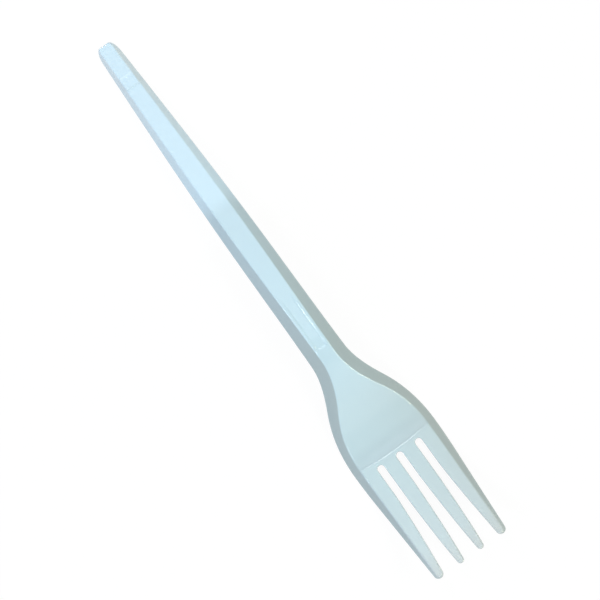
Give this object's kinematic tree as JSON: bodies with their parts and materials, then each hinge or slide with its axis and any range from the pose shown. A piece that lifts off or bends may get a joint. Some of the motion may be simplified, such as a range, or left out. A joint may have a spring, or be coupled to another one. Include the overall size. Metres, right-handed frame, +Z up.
{
  "type": "plastic fork",
  "caption": "Disposable dining fork moulded in one piece of glossy plastic, with a ribbed arched handle, a dished head and slender tines.",
  "frame": {"origin": "middle of the length and width, on the surface that the fork rests on", "axes": "+X along the fork from the handle's end to the tips of the tines, +Z up from the resting surface"},
  "size_m": [0.165, 0.026, 0.012],
  "materials": {
    "milky_plastic": "smooth moulded, milky with a cold tint"
  },
  "bodies": {
    "root": {"fork": "milky_plastic"}
  },
  "joints": []
}
